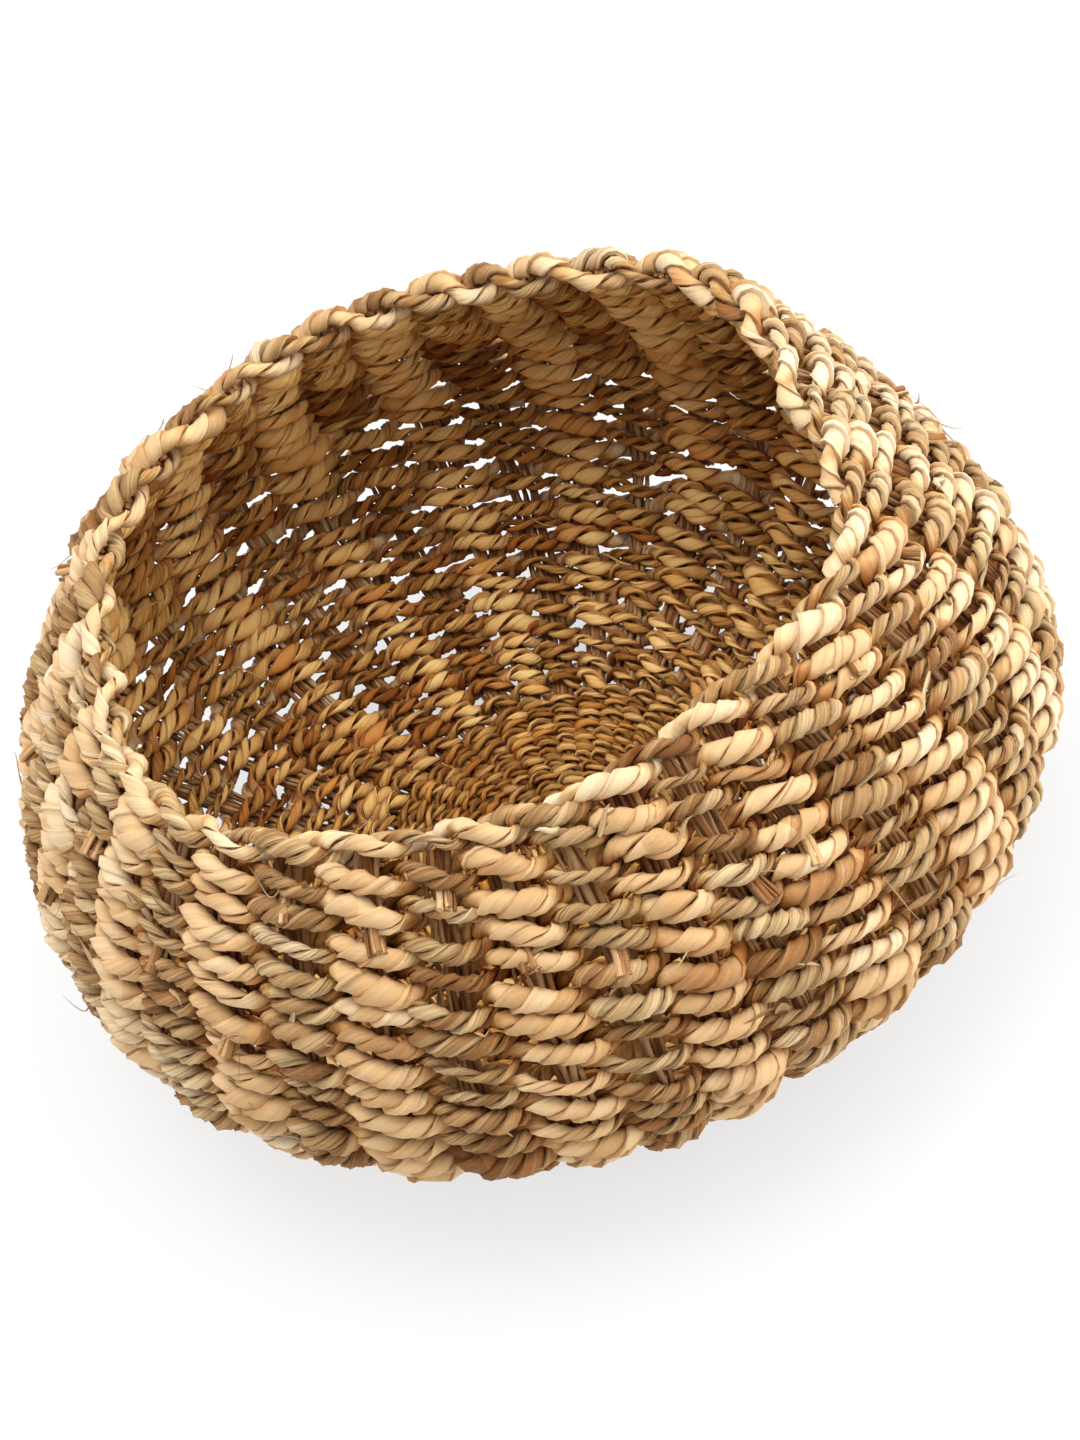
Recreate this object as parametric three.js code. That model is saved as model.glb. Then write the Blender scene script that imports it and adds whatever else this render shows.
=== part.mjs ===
// Round-bellied storage basket, pair-twined from seagrass cord over forty stakes.
// Millimetres, +Z up. The origin is on the ground, under the middle of the base.
import * as THREE from "three";

// Outline of the basket
const bellyDiameter = 350; // over the cords, at the widest place
const mouthDiameter = 246; // between the middles of the rim's cords
const baseDiameter = 154; // where the flat base starts to turn up
const rimHeight = 160; // ground to the middle of the rim
const bellyHeight = 70; // ground to the widest place
const wallThickness = 15; // over the cords outside and inside the stakes
const footCurvePower = 1.55; // how full the wall is below the belly, 2 is an ellipse
const neckCurvePower = 2; // how late the wall turns in above the belly

// Stakes, the stiff stem bundles that the cords are twined round
const stakeCount = 40;
const stakeDepth = 4.4; // through the wall
const stakeWidth = 5; // along the wall
const firstStakeAngle = 7; // degrees from +X

// Rounds of twining
const roundsPerBand = 6;
const bandNames = ["foot", "belly", "shoulder", "neck"];
const roundRelief = 2; // how deep the groove between two rounds is
const bandGap = 1.6; // between two neighbouring bands, where the stakes show
const baseDiscDiameter = 140; // the finer twining in the middle of the base
const baseRounds = 7;

// The rim's two cords, each wound round the other, with a stake between them at every half turn
const rimCordHeight = 7.4; // measured along the wall
const rimCordSides = 5;
const rimStepsPerPair = 6; // for each pair of stakes

const clearance = 0.3; // between pieces that touch

const halfWall = wallThickness / 2;
const halfStake = stakeDepth / 2;
const seatOffset = halfStake + clearance; // from the wall's middle to the cords
const cordDepth = halfWall - seatOffset;
const baseDiscRadius = baseDiscDiameter / 2;
const hubRadius = stakeCount * (stakeWidth + clearance) / (2 * Math.PI);
const rimCordSpread = rimCordHeight / 2 + clearance; // from the rim's middle to each cord

// The middle of the wall, in half section: x is the distance from the axis, y the height.
class WallLine extends THREE.Curve {
  getPoint(t, target = new THREE.Vector2()) {
    const stretch = Math.min(Math.floor(t * 3), 2);
    const share = t * 3 - stretch;
    const flatRadius = baseDiameter / 2;
    const bellyRadius = bellyDiameter / 2 - halfWall;
    if (stretch === 0) {
      return target.set(flatRadius * share, halfWall);
    }
    if (stretch === 1) {
      const turn = share * Math.PI / 2;
      const power = 2 / footCurvePower;
      const out = Math.max(Math.sin(turn), 0) ** power;
      const down = Math.max(Math.cos(turn), 0) ** power;
      return target.set(flatRadius + (bellyRadius - flatRadius) * out,
        bellyHeight - (bellyHeight - halfWall) * down);
    }
    const drawIn = (bellyRadius - mouthDiameter / 2) * share ** neckCurvePower;
    return target.set(bellyRadius - drawIn, bellyHeight + (rimHeight - bellyHeight) * share);
  }
}

const wallLine = new WallLine();
const wallLength = wallLine.getLength();
const bandsEnd = wallLength - rimCordSpread - rimCordHeight / 2 - clearance;
const bandLength = (bandsEnd - baseDiscRadius) / bandNames.length;

// The wall's middle point, upward direction and outward direction at a length from the axis
function wallFrame(along) {
  const share = along / wallLength;
  const middle = wallLine.getPointAt(share);
  const up = wallLine.getTangentAt(share);
  return { middle, up, out: new THREE.Vector2(up.y, -up.x) };
}

function wallPoint(along, outward) {
  const { middle, out } = wallFrame(along);
  return middle.clone().addScaledVector(out, outward);
}

// A ring or disc turned about the axis, with a corner over every stake
function turned(profile) {
  const geometry = new THREE.LatheGeometry(profile, stakeCount, Math.PI / 2);
  return geometry.rotateX(Math.PI / 2);
}

// A closed skin over a row of rings of points, each ring counterclockwise about the way ahead
function skin(rings, endless) {
  const sides = rings[0].length;
  const positions = rings.flat().flatMap((point) => [point.x, point.y, point.z]);
  const faces = [];
  const spans = endless ? rings.length : rings.length - 1;
  for (let span = 0; span < spans; span++) {
    const here = span * sides;
    const ahead = ((span + 1) % rings.length) * sides;
    for (let side = 0; side < sides; side++) {
      const next = (side + 1) % sides;
      faces.push(here + side, here + next, ahead + next);
      faces.push(here + side, ahead + next, ahead + side);
    }
  }
  if (!endless) {
    const last = (rings.length - 1) * sides;
    for (let side = 1; side < sides - 1; side++) {
      faces.push(0, side + 1, side);
      faces.push(last, last + side, last + side + 1);
    }
  }
  const geometry = new THREE.BufferGeometry();
  geometry.setAttribute("position", new THREE.Float32BufferAttribute(positions, 3));
  geometry.setIndex(faces);
  geometry.computeVertexNormals();
  return geometry;
}

function straw(color, roughness) {
  return new THREE.MeshStandardMaterial({ color, roughness, metalness: 0 });
}

const creamStraw = straw(0xdcb67f, 0.72);
const oliveStraw = straw(0x8f7750, 0.78);
const mixedStraw = straw(0xc09c68, 0.75);
const innerStraw = straw(0x9a7440, 0.8);
const stemStraw = straw(0xa88456, 0.8);

const basket = new THREE.Group();
basket.rotation.z = THREE.MathUtils.degToRad(firstStakeAngle);

function add(name, geometry, material, turn = 0) {
  const mesh = new THREE.Mesh(geometry, material);
  mesh.name = name;
  mesh.rotation.z = turn;
  basket.add(mesh);
}

// Where the bands begin and end, and the stations that their backs share with the stakes
function bandSpan(index) {
  const start = baseDiscRadius + index * bandLength;
  return { from: start + bandGap / 2, middle: start + bandLength / 2,
    to: start + bandLength - bandGap / 2 };
}

// Outside of the stakes: every round of twining is a rib
function outerBand(index) {
  const { from, middle, to } = bandSpan(index);
  const round = (to - from) / roundsPerBand;
  const profile = [wallPoint(from, halfWall - roundRelief)];
  for (let count = 0; count < roundsPerBand; count++) {
    profile.push(wallPoint(from + (count + 0.5) * round, halfWall));
    profile.push(wallPoint(from + (count + 1) * round, halfWall - roundRelief));
  }
  for (const along of [to, middle, from]) {
    profile.push(wallPoint(along, seatOffset));
  }
  profile.push(profile[0].clone());
  return turned(profile);
}

// Inside of the stakes the same cords are pressed flatter
function innerBand(index) {
  const { from, middle, to } = bandSpan(index);
  const profile = [from, middle, to].map((along) => wallPoint(along, -seatOffset));
  for (const along of [to, middle, from]) {
    profile.push(wallPoint(along, -halfWall));
  }
  profile.push(profile[0].clone());
  return turned(profile);
}

bandNames.forEach((name, index) => {
  add(`outer_weave_${name}`, outerBand(index), mixedStraw);
  add(`inner_weave_${name}`, innerBand(index), innerStraw);
});

// The flat middle of the base: the underside, the finer rounds seen from inside, and the hub
// where the stakes start between them
const discEdge = baseDiscRadius - bandGap / 2;

function baseUnderside() {
  return turned([
    new THREE.Vector2(0, 0),
    new THREE.Vector2(discEdge, 0),
    new THREE.Vector2(discEdge, cordDepth),
    new THREE.Vector2(0, cordDepth),
  ]);
}

function baseInside() {
  const bottom = halfWall + seatOffset;
  const round = discEdge / baseRounds;
  const profile = [new THREE.Vector2(0, bottom), new THREE.Vector2(discEdge, bottom)];
  for (let count = baseRounds; count > 0; count--) {
    profile.push(new THREE.Vector2(count * round, wallThickness - roundRelief));
    profile.push(new THREE.Vector2((count - 0.5) * round, wallThickness));
  }
  profile.push(new THREE.Vector2(0, wallThickness - roundRelief));
  return turned(profile);
}

function baseHub() {
  const edge = hubRadius - clearance;
  return turned([
    new THREE.Vector2(0, halfWall - halfStake),
    new THREE.Vector2(edge, halfWall - halfStake),
    new THREE.Vector2(edge, halfWall + halfStake),
    new THREE.Vector2(0, halfWall + halfStake),
  ]);
}

add("base_underside", baseUnderside(), mixedStraw);
add("base_inside", baseInside(), oliveStraw);
add("base_hub", baseHub(), stemStraw);

// One stake, bent to the wall's half section, from the hub to the middle of the rim
function stake() {
  const stations = [hubRadius, baseDiscRadius];
  for (let index = 0; index < bandNames.length; index++) {
    stations.push(bandSpan(index).middle, baseDiscRadius + (index + 1) * bandLength);
  }
  stations.push(wallLength);
  const rings = stations.map((along) => {
    const { middle, out } = wallFrame(along);
    const centre = new THREE.Vector3(middle.x, 0, middle.y);
    const depth = new THREE.Vector3(out.x, 0, out.y).multiplyScalar(halfStake);
    const width = new THREE.Vector3(0, stakeWidth / 2, 0);
    return [centre.clone().add(depth), centre.clone().add(width),
      centre.clone().sub(depth), centre.clone().sub(width)];
  });
  return skin(rings, false);
}

const stakeShape = stake();
for (let count = 0; count < stakeCount; count++) {
  const number = String(count + 1).padStart(2, "0");
  add(`stake_${number}`, stakeShape, stemStraw, count / stakeCount * 2 * Math.PI);
}

// One cord of the rim. It passes outside every second stake and inside the others, over one
// neighbour cord and under the next, so the two cords hold the stakes between them.
function rimCord(phase) {
  const { middle, up, out } = wallFrame(wallLength);
  const pairs = stakeCount / 2;
  const steps = pairs * rimStepsPerPair;
  const halfDepth = cordDepth / 2;
  const rings = [];
  for (let step = 0; step < steps; step++) {
    const around = step / steps * 2 * Math.PI;
    const twist = around * pairs + phase;
    const outward = (seatOffset + halfDepth) * Math.cos(twist);
    const upward = -rimCordSpread * Math.sin(twist);
    const ring = [];
    for (let side = 0; side < rimCordSides; side++) {
      const corner = side / rimCordSides * 2 * Math.PI;
      const place = middle.clone()
        .addScaledVector(out, outward + halfDepth * Math.sin(corner))
        .addScaledVector(up, upward + rimCordHeight / 2 * Math.cos(corner));
      ring.push(new THREE.Vector3(place.x * Math.cos(around), place.x * Math.sin(around), place.y));
    }
    rings.push(ring);
  }
  return skin(rings, true);
}

add("rim_cream_cord", rimCord(0), creamStraw);
add("rim_olive_cord", rimCord(Math.PI), oliveStraw);

export default basket;
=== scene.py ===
import math

import bpy
import numpy as np
from mathutils import Matrix, Vector


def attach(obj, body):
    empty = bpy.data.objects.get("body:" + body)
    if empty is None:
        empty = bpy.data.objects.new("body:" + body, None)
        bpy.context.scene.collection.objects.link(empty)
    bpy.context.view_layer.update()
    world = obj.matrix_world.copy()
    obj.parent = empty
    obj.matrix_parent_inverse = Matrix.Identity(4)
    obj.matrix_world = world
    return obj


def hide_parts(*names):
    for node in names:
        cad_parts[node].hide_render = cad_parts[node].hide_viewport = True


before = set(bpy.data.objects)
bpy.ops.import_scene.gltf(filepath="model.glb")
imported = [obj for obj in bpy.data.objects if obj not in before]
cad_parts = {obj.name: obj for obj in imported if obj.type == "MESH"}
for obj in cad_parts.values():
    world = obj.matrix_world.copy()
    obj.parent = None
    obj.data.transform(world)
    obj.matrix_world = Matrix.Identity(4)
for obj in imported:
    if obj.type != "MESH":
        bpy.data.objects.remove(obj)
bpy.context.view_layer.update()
dice = np.random.default_rng(7)
fullTurn = 2 * math.pi

# The wall's middle in half section, in metres, as the frame has it
wall = {
    "bellyRadius": 0.175,
    "mouthRadius": 0.123,
    "flatRadius": 0.077,
    "rimHeight": 0.160,
    "bellyHeight": 0.070,
    "thickness": 0.015,
    "footPower": 1.55,
    "neckPower": 2.0,
    "discRadius": 0.070,
    "dents": 0.0016,
    "waveDrift": 12,  # how far a random wave turns from the foot to the rim, in radians
    # painted light: the outer passes are painted paler to the left and right of the photograph,
    # where the light falls, and most to the right: the share on both sides, the share more on the
    # right, and where that is in degrees
    "paintedLightSides": (0.21, 0.12, 4),
    # the hand-made mouth out of round: waves round it, their size, and where each peaks in degrees
    "mouthWaves": ((1, 0.0007, 90), (2, 0.0009, 39), (3, 0.0009, 95), (4, 0.0026, 40),
                   (5, 0.0013, 42), (6, 0.0021, 31)),
    # the same for the body between foot and rim
    "bodyWaves": ((0, -0.0010, 0), (1, 0.0013, -164), (2, 0.0027, -42), (3, 0.0010, -12),
                  (4, 0.0008, -26), (5, 0.0008, -2)),
}


def makeWallLine(samples=400):
    turn = np.linspace(0, 1, samples)
    half = wall["thickness"] / 2
    belly = wall["bellyRadius"] - half
    flat = np.stack([wall["flatRadius"] * turn, np.full(samples, half)], 1)
    power = 2 / wall["footPower"]
    angle = turn * math.pi / 2
    foot = np.stack([
        wall["flatRadius"] + (belly - wall["flatRadius"]) * np.sin(angle) ** power,
        wall["bellyHeight"] - (wall["bellyHeight"] - half) * np.abs(np.cos(angle)) ** power], 1)
    neck = np.stack([
        belly - (belly - wall["mouthRadius"]) * turn ** wall["neckPower"],
        wall["bellyHeight"] + (wall["rimHeight"] - wall["bellyHeight"]) * turn], 1)
    line = np.concatenate([flat, foot[1:], neck[1:]])
    along = np.concatenate([[0], np.cumsum(np.linalg.norm(np.diff(line, axis=0), axis=1))])
    return along, line


wallAlong, wallLine = makeWallLine()
wallLength = wallAlong[-1]
wallSlope = np.gradient(wallLine, wallAlong, axis=0)


def makeWaves(count, low, high):
    # a few random waves round the basket that drift along the wall, for hand-made unevenness
    return [(dice.integers(low, high), dice.uniform(0, fullTurn), dice.uniform(-1, 1),
             dice.uniform(0.6, 1) / count) for _ in range(count)]


def readWaves(waves, azimuth, along):
    upwards = wall["waveDrift"] * along / wallLength
    return sum(size * np.sin(number * azimuth + start + drift * upwards)
               for number, start, drift, size in waves)


dentWaves = makeWaves(4, 2, 6)
sagWaves = makeWaves(5, 2, 9)
stakeWaves = makeWaves(5, 3, 12)


def wallPlace(along, azimuth):
    # middle of the wall, its outward direction and its upward direction
    azimuth = np.asarray(azimuth, float)
    along = np.asarray(along, float) + 0 * azimuth
    radius = np.interp(along, wallAlong, wallLine[:, 0])
    height = np.interp(along, wallAlong, wallLine[:, 1])
    run = np.interp(along, wallAlong, wallSlope[:, 0])
    rise = np.interp(along, wallAlong, wallSlope[:, 1])
    length = np.hypot(run, rise)
    run, rise = run / length, rise / length
    lift = np.clip((height - wall["bellyHeight"]) / (wall["rimHeight"] - wall["bellyHeight"]), 0, 1)
    for number, size, peak in wall["mouthWaves"]:
        radius = radius + size * lift ** 2 * np.cos(number * (azimuth - math.radians(peak)))
    body = np.clip(height / wall["bellyHeight"], 0, 1)
    for number, size, peak in wall["bodyWaves"]:
        turned = number * (azimuth - math.radians(peak))
        radius = radius + size * body * (1 - lift ** 3) * np.cos(turned)
    radius = radius + wall["dents"] * body * readWaves(dentWaves, azimuth, along)
    over = np.clip(along - wallLength, 0, None)
    radius, height = radius + over * run, height + over * rise
    cos, sin = np.cos(azimuth), np.sin(azimuth)
    middle = np.stack([radius * cos, radius * sin, height], -1)
    outward = np.stack([rise * cos, rise * sin, -run], -1)
    upward = np.stack([run * cos, run * sin, rise], -1)
    return middle, outward, upward


stakes = {"count": 40, "firstAngle": 7, "wander": 2.6, "width": 0.0076}


def stakeAngles(along, every=1):
    number = np.arange(0, stakes["count"], every)
    even = math.radians(stakes["firstAngle"]) + number / stakes["count"] * fullTurn
    return even + math.radians(stakes["wander"]) * readWaves(stakeWaves, even, along)


def loopNoise(place, count, spread):
    # one random value for each of count places round the loop, eased from one to the next
    values = dice.normal(0, spread, count)
    before = np.floor(place).astype(int)
    share = place - before
    share = share * share * (3 - 2 * share)
    return values[before % count] * (1 - share) + values[(before + 1) % count] * share


def cordPath(along, phase, cord, every=1, perStake=12):
    # the middle of one cord of a twined pair, with what the sweep needs at each point
    angles = stakeAngles(along, every)
    count = len(angles)
    azimuth = np.arange(count * perStake) / (count * perStake) * fullTurn
    reach = np.concatenate([angles[-2:] - fullTurn, angles, angles[:2] + fullTurn])
    place = np.interp(azimuth, reach, np.arange(-2, count + 2)) + phase
    place = place + loopNoise(place, count, cord["unevenStep"])
    turn = place * math.pi
    passing = np.cos(turn)
    passing = passing * (1.4 - 0.4 * passing ** 2)  # longer passes and quicker crossings
    out = cord["swing"] * passing * (1 + loopNoise(place, count, cord["unevenSwing"]))
    up = -cord["rise"] * np.sin(turn) * (1 + loopNoise(place, count, cord["unevenRise"]))
    up = up + cord["sag"] * readWaves(sagWaves, azimuth, along)
    up = up + loopNoise(place, count, cord["stray"])
    middle, outward, upward = wallPlace(along + up, azimuth)
    points = middle + outward * out[:, None]
    size = cord["diameter"] * (cord["pinch"] + (1 - cord["pinch"]) * np.abs(passing))
    size = size * (1 + cord["insideGrowth"] * np.clip(-passing, 0, 1))
    size = size * (1 + loopNoise(place, count, cord["uneven"]))
    step = np.linalg.norm(np.roll(points, -1, 0) - points, axis=1)
    lay = cord["lay"] * np.exp(loopNoise(place, count, cord["unevenLay"]))
    lay = lay * (1 + cord["insideLay"] * np.clip(-passing, 0, 1))
    turns = np.concatenate([[0], np.cumsum(step / lay)])
    twist = -turns[:-1] / turns[-1] * max(round(turns[-1]), 1) * fullTurn
    twist = twist + dice.uniform(0, fullTurn)
    tone = loopNoise(place, count, cord["mottle"])
    tone = tone + loopNoise(place / 4, count // 4, cord["mottle"])
    # painted light: outer passes are painted paler on the lit left and right sides
    both, right, side = wall["paintedLightSides"]
    fromSide = azimuth - math.radians(side)
    pale = both * np.cos(2 * fromSide) + right * np.cos(fromSide)
    tone = tone + pale * np.clip(passing, 0, 1)
    return {"points": points, "wallOut": outward, "cordSize": size, "passing": passing,
            "twistWay": np.stack([np.cos(twist), np.sin(twist), 0 * twist], 1),
            "tone": tone + dice.normal(0, cord["mottle"] * 0.4)}


def guideMesh(paths, closed=True):
    # all the paths of one piece as loose edges, with their values as attributes
    edges, start = [], 0
    for path in paths:
        number = np.arange(start, start + len(path["points"]))
        pairs = np.stack([number, np.roll(number, -1)], 1)
        edges.append(pairs if closed else pairs[:-1])
        start += len(number)
    mesh = bpy.data.meshes.new("guide")
    mesh.from_pydata(np.concatenate([path["points"] for path in paths]).tolist(),
                     np.concatenate(edges).tolist(), [])
    for key in paths[0]:
        if key != "points":
            values = np.concatenate([np.asarray(path[key], float) for path in paths])
            kind, field = ("FLOAT_VECTOR", "vector") if values.ndim == 2 else ("FLOAT", "value")
            mesh.attributes.new(key, kind, "POINT").data.foreach_set(field, values.ravel())
    guide = bpy.data.objects.new("guide", mesh)
    bpy.context.scene.collection.objects.link(guide)
    return guide


class NodeSketch:
    # short ways to write a node tree
    def __init__(self, tree):
        self.tree = tree

    def add(self, kind, inputs=None, **settings):
        made = self.tree.nodes.new(kind)
        for name, value in settings.items():
            setattr(made, name, value)
        for name, value in (inputs or {}).items():
            self.put(made.inputs[name], value)
        return made

    def put(self, socket, value):
        if isinstance(value, bpy.types.NodeSocket):
            self.tree.links.new(value, socket)
        else:
            socket.default_value = value

    def operate(self, kind, operation, values):
        made = self.tree.nodes.new(kind)
        made.operation = operation
        for socket, value in zip(made.inputs, values):
            self.put(socket, value)
        return made

    def math(self, operation, *values):
        return self.operate("ShaderNodeMath", operation, values).outputs[0]

    def vector(self, operation, *values):
        return self.operate("ShaderNodeVectorMath", operation, values).outputs[0]

    def dot(self, first, second):
        return self.operate("ShaderNodeVectorMath", "DOT_PRODUCT", (first, second)).outputs["Value"]

    def scaled(self, vector, factor):
        made = self.operate("ShaderNodeVectorMath", "SCALE", (vector,))
        self.put(made.inputs["Scale"], factor)
        return made.outputs[0]

    def joined(self, x, y, z):
        return self.add("ShaderNodeCombineXYZ", {0: x, 1: y, 2: z}).outputs[0]

    def turned(self, vector, axis, angle):
        return self.add("ShaderNodeVectorRotate", {"Vector": vector, "Axis": axis, "Angle": angle},
                        rotation_type="AXIS_ANGLE").outputs[0]

    def range(self, value, low, high, start=0.0, end=1.0):
        return self.add("ShaderNodeMapRange", {
            0: value, 1: low, 2: high, 3: start, 4: end}).outputs[0]

    def noise(self, place, seed, scale, detail=1.0):
        made = self.add("ShaderNodeTexNoise", {"Vector": place, "W": seed, "Scale": scale,
                        "Detail": detail}, noise_dimensions="4D")
        return made.outputs[0]

    def attribute(self, name, kind="FLOAT"):
        made = self.add("GeometryNodeInputNamedAttribute", {"Name": name}, data_type=kind)
        return made.outputs["Attribute"]

    def store(self, geometry, name, value, kind="FLOAT", domain="POINT"):
        made = self.add("GeometryNodeStoreNamedAttribute", {"Geometry": geometry, "Name": name,
                        "Value": value}, data_type=kind, domain=domain)
        return made.outputs["Geometry"]


def newTree(name, sockets):
    tree = bpy.data.node_groups.new(name, "GeometryNodeTree")
    tree.interface.new_socket("Geometry", in_out="INPUT", socket_type="NodeSocketGeometry")
    for label, kind in sockets:
        tree.interface.new_socket(label, in_out="INPUT", socket_type="NodeSocket" + kind)
    tree.interface.new_socket("Geometry", in_out="OUTPUT", socket_type="NodeSocketGeometry")
    sketch = NodeSketch(tree)
    return sketch, sketch.add("NodeGroupInput").outputs


def strandNodes(sketch, sockets, count):
    # the guide edges as evenly stepped curves, each one copied into its strands, with a random
    # number for each strand and the length along it kept for the material
    curve = sketch.add("GeometryNodeMeshToCurve", {"Mesh": sockets["Geometry"]}).outputs[0]
    fine = sketch.add("GeometryNodeResampleCurve", {"Curve": curve, "Length": sockets["Step"]},
                      mode="LENGTH").outputs[0]
    copies = sketch.add("GeometryNodeDuplicateElements", {"Geometry": fine, "Amount": count},
                        domain="SPLINE")
    seed = sketch.add("FunctionNodeRandomValue", {2: 0.0, 3: 50.0, "Seed": sockets["Seed"]},
                      data_type="FLOAT")
    geometry = sketch.store(copies.outputs["Geometry"], "strandSeed", seed.outputs[1],
                            domain="CURVE")
    length = sketch.add("GeometryNodeSplineParameter").outputs["Length"]
    geometry = sketch.store(geometry, "strandLength", length)
    tangent = sketch.add("GeometryNodeInputTangent").outputs[0]
    wallOut = sketch.attribute("wallOut", "FLOAT_VECTOR")
    lean = sketch.scaled(tangent, sketch.dot(wallOut, tangent))
    outward = sketch.vector("NORMALIZE", sketch.vector("SUBTRACT", wallOut, lean))
    return geometry, copies.outputs["Duplicate Index"], tangent, outward


def roundRing(sketch, sockets):
    # the cross-section of a stem or a blade
    ring = sketch.add("GeometryNodeCurvePrimitiveCircle", {
        "Resolution": sockets["Sides"], "Radius": 0.5}).outputs["Curve"]
    return sketch.store(ring, "around", sketch.add("GeometryNodeSplineParameter").outputs["Factor"])


def finishNodes(sketch, mesh, sockets):
    # nothing reaches below the ground; smooth shading and the material
    place = sketch.add("GeometryNodeInputPosition").outputs[0]
    ground = sketch.joined(-1.0, -1.0, 0.0003)
    moved = sketch.add("GeometryNodeSetPosition", {
        "Geometry": mesh, "Position": sketch.vector("MAXIMUM", place, ground)})
    smooth = sketch.add("GeometryNodeSetShadeSmooth", {"Geometry": moved.outputs["Geometry"]})
    real = sketch.add("GeometryNodeRealizeInstances", {"Geometry": smooth.outputs["Geometry"]})
    painted = sketch.add("GeometryNodeSetMaterial", {
        "Geometry": real.outputs["Geometry"], "Material": sockets["Material"]})
    sketch.add("NodeGroupOutput", {"Geometry": painted.outputs["Geometry"]})


def makeCordTree():
    # two rolled leaves twisted round each other along each guide loop
    sketch, sockets = newTree("twistedCord", (
        ("Leaf reach", "Float"), ("Leaf width", "Float"), ("Leaf depth", "Float"),
        ("Inside spread", "Float"), ("Inside flatness", "Float"), ("Leaf variety", "Float"),
        ("Leaf roll", "Float"), ("Leaf tilt", "Float"), ("Leaf lean", "Float"),
        ("Sharpness", "Float"), ("Sides", "Int"), ("Leaf edges", "Int"), ("Edge lift", "Float"),
        ("Groove", "Float"), ("Wrinkle", "Float"), ("Step", "Float"), ("Seed", "Int"),
        ("Material", "Material")))
    geometry, index, tangent, outward = strandNodes(sketch, sockets, 2)
    way = sketch.add("ShaderNodeSeparateXYZ", {0: sketch.attribute("twistWay", "FLOAT_VECTOR")})
    angle = sketch.math("ARCTAN2", way.outputs["Y"], way.outputs["X"])
    angle = sketch.math("MULTIPLY_ADD", index, math.pi, angle)
    geometry = sketch.store(geometry, "leafOut", sketch.turned(outward, tangent, angle),
                            "FLOAT_VECTOR")
    leafOut = sketch.attribute("leafOut", "FLOAT_VECTOR")
    length = sketch.attribute("strandLength")
    seed = sketch.attribute("strandSeed")
    size = sketch.attribute("cordSize")
    reach = sketch.math("MULTIPLY", sockets["Leaf reach"], size)
    inward = sketch.math("MULTIPLY", sketch.attribute("passing"), -1.0)
    pressed = sketch.math("MAXIMUM", inward, 0.0)
    flat = sketch.math("MULTIPLY", pressed, sockets["Inside flatness"])
    beside = sketch.vector("CROSS_PRODUCT", tangent, outward)
    wider = sketch.scaled(beside, sketch.math("MULTIPLY", sketch.dot(leafOut, beside), flat))
    thinner = sketch.scaled(outward, sketch.math("MULTIPLY", sketch.math(
        "MULTIPLY", sketch.dot(leafOut, outward), flat), -0.35))
    place = sketch.vector("ADD", leafOut, sketch.vector("ADD", wider, thinner))
    geometry = sketch.add("GeometryNodeSetPosition", {
        "Geometry": geometry, "Offset": sketch.scaled(place, reach)}).outputs["Geometry"]
    geometry = sketch.store(geometry, "leafMiddle",
                            sketch.add("GeometryNodeInputPosition").outputs[0], "FLOAT_VECTOR")
    place = sketch.joined(sketch.math("MULTIPLY", length, 45.0), seed, 0.0)
    tilt = sketch.math("MULTIPLY", sketch.math("SUBTRACT", sketch.noise(
        place, sketch.math("ADD", seed, 5.0), 1.3), 0.5), sockets["Leaf tilt"])
    tilt = sketch.math("ADD", tilt, sockets["Leaf lean"])
    geometry = sketch.store(geometry, "leafOut", sketch.turned(leafOut, tangent, tilt),
                            "FLOAT_VECTOR")
    geometry = sketch.store(geometry, "leafSide", sketch.vector(
        "NORMALIZE", sketch.vector("CROSS_PRODUCT", tangent, leafOut)), "FLOAT_VECTOR")
    geometry = sketch.store(geometry, "leafSpread", sketch.math(
        "SUBTRACT", sketch.noise(place, seed, 1.0), 0.5))
    roll = sketch.math("MULTIPLY", sketch.math("SUBTRACT", sketch.noise(
        sketch.scaled(place, 0.6), sketch.math("ADD", seed, 9.0), 1.0), 0.5), sockets["Leaf roll"])
    roll = sketch.math("ADD", roll, sketch.math("MULTIPLY", seed, 3.7))
    geometry = sketch.add("GeometryNodeSetCurveNormal", {
        "Curve": geometry, "Normal": sketch.turned(leafOut, tangent, roll)},
        mode="FREE").outputs["Curve"]

    ring = sketch.add("GeometryNodeCurvePrimitiveCircle", {"Resolution": sockets["Sides"],
                      "Radius": 1.0}).outputs["Curve"]
    around = sketch.math("DIVIDE", sketch.add("GeometryNodeInputIndex").outputs[0],
                         sketch.math("SUBTRACT", sockets["Sides"], 0.7))
    ring = sketch.store(ring, "around", around)
    around = sketch.attribute("around")
    edge = sketch.math("FRACT", sketch.math("MULTIPLY", around, sockets["Leaf edges"]))
    parity = sketch.math("MULTIPLY", sketch.math("SUBTRACT", sketch.math(
        "MODULO", sketch.add("GeometryNodeInputIndex").outputs[0], 2.0), 0.5), sockets["Groove"])
    radius = sketch.math("MULTIPLY_ADD", edge, sockets["Edge lift"], 1.0)
    radius = sketch.math("ADD", radius, parity)
    angle = sketch.math("MULTIPLY", around, fullTurn)
    ring = sketch.add("GeometryNodeSetPosition", {"Geometry": ring, "Position": sketch.scaled(
        sketch.joined(sketch.math("COSINE", angle), sketch.math("SINE", angle), 0.0),
        sketch.math("MULTIPLY", radius, 0.5))}).outputs["Geometry"]

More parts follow.
